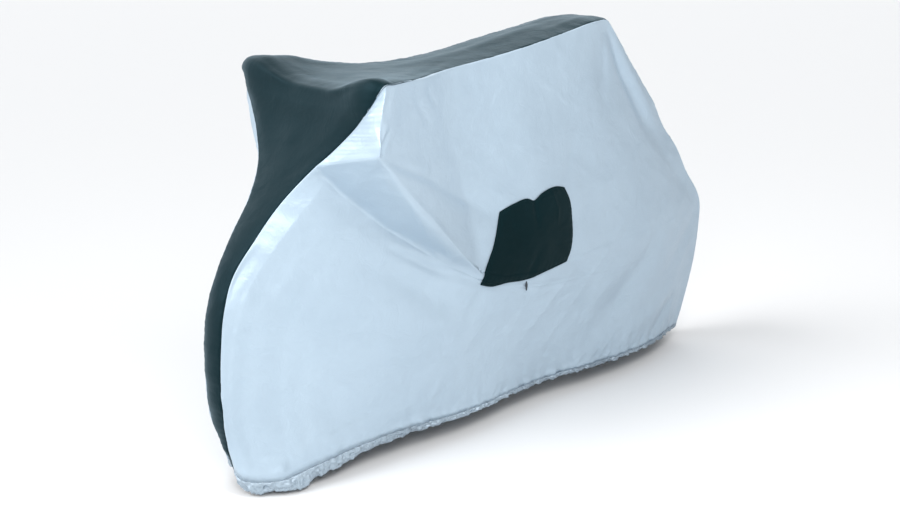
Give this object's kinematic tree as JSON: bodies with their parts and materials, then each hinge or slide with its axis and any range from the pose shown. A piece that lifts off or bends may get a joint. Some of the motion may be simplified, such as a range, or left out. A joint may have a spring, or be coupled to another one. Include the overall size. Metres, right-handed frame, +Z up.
{
  "type": "bicycle cover",
  "caption": "Fitted cloth cover that hides a bicycle: silver side panels, a dark centre strip from hem to hem over the top, a gathered elastic hem and a side storage pouch.",
  "frame": {"origin": "under the cover's top, 2 mm below the inside of the centre strip where the saddle carries it", "axes": "+X from the front wheel to the rear wheel, +Y away from the side that has the pouch, +Z up"},
  "size_m": [1.9181, 0.6134, 1.1375],
  "materials": {
    "silver_cloth": "silver-coated nylon taffeta, soft sheen",
    "dark_cloth": "charcoal nylon taffeta, soft sheen",
    "pouch_cloth": "near-black nylon, matt",
    "pull_webbing": "dark webbing, matt"
  },
  "bodies": {
    "root": {"near_side_panel": "silver_cloth", "far_side_panel": "silver_cloth", "centre_gusset": "dark_cloth", "storage_pouch": "pouch_cloth", "pouch_tab": "pull_webbing"}
  },
  "joints": []
}
